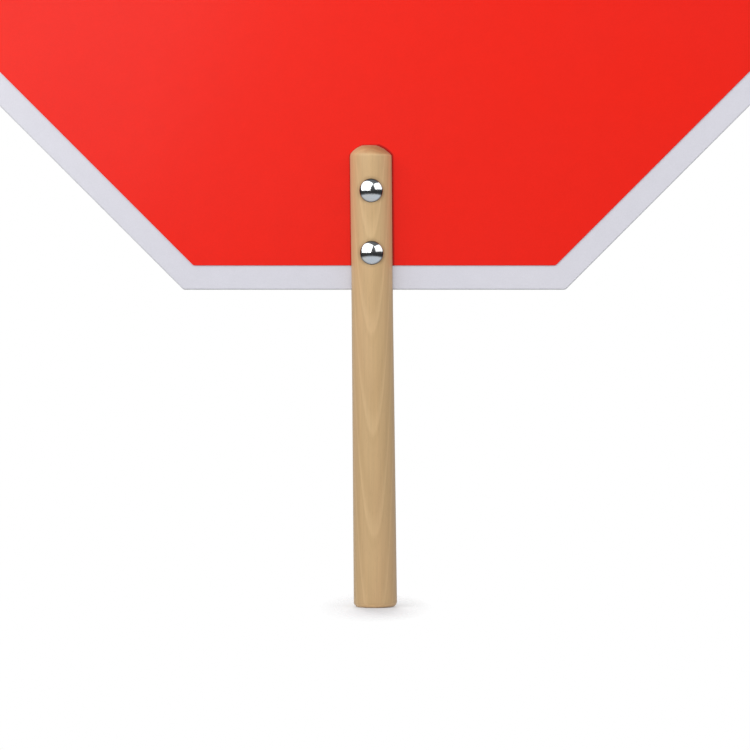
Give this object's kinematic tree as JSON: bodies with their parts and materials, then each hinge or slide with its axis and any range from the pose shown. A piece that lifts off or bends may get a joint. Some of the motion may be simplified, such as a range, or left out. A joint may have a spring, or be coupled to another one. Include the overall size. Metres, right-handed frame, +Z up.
{
  "type": "stop slow paddle",
  "caption": "Hand-held octagonal traffic paddle: a flat sign, red on one side and orange on the other, bolted into the sawn end of a round wooden handle.",
  "frame": {"origin": "centre of the handle's flat lower end", "axes": "+Z up, square to the sign's lower edge, from the handle towards the sign; +X to the right when the red side is faced; the red side faces -Y and the orange side faces +Y"},
  "size_m": [0.6096, 0.0417, 0.8193],
  "materials": {
    "aluminium": "satin",
    "white_sheeting": "satin",
    "red_film": "satin",
    "orange_sheeting": "satin",
    "black_film": "satin",
    "wood": "satin",
    "zinc": "polished"
  },
  "bodies": {
    "root": {"sign_blank": "aluminium", "stop_white_sheeting": "white_sheeting", "stop_red_film": "red_film", "slow_orange_sheeting": "orange_sheeting", "slow_black_surround": "black_film", "slow_black_line": "black_film", "handle": "wood", "carriage_bolt_lower": "zinc", "carriage_bolt_upper": "zinc", "washer_lower": "zinc", "washer_upper": "zinc", "hex_nut_lower": "zinc", "hex_nut_upper": "zinc"}
  },
  "joints": []
}
